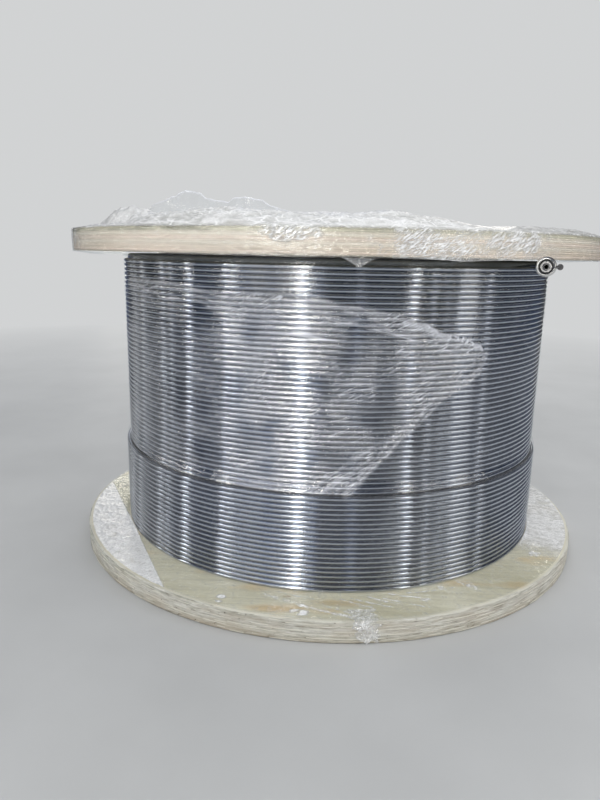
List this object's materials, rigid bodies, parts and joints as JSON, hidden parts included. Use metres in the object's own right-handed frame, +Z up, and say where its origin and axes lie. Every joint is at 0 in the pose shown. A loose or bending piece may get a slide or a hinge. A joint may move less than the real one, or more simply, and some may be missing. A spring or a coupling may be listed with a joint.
{
  "type": "reel of stainless steel tubing",
  "caption": "Plywood reel standing on one flange, close-wound with bright stainless steel tubing and wrapped in clear stretch film.",
  "frame": {"origin": "middle of the bottom flange's underside, on the reel's axis", "axes": "+Z up along the reel's axis, -Y towards the side that the tube's free end points to"},
  "size_m": [1.5722, 1.5722, 1.0254],
  "materials": {
    "tube_steel": "bright drawn stainless steel",
    "plywood": "raw plywood",
    "barrel_wood": "raw timber staves",
    "fitting_steel": "turned steel",
    "black_rubber": "matt",
    "stretch_film": "clear crumpled film"
  },
  "bodies": {
    "root": {"bottom_flange": "plywood", "top_flange": "plywood", "barrel": "barrel_wood", "tube_coil": "tube_steel", "end_collar": "fitting_steel", "end_grommet": "black_rubber", "end_nut": "fitting_steel", "clamp_screw": "fitting_steel", "film_wrap": "stretch_film", "film_top": "stretch_film"}
  },
  "joints": []
}
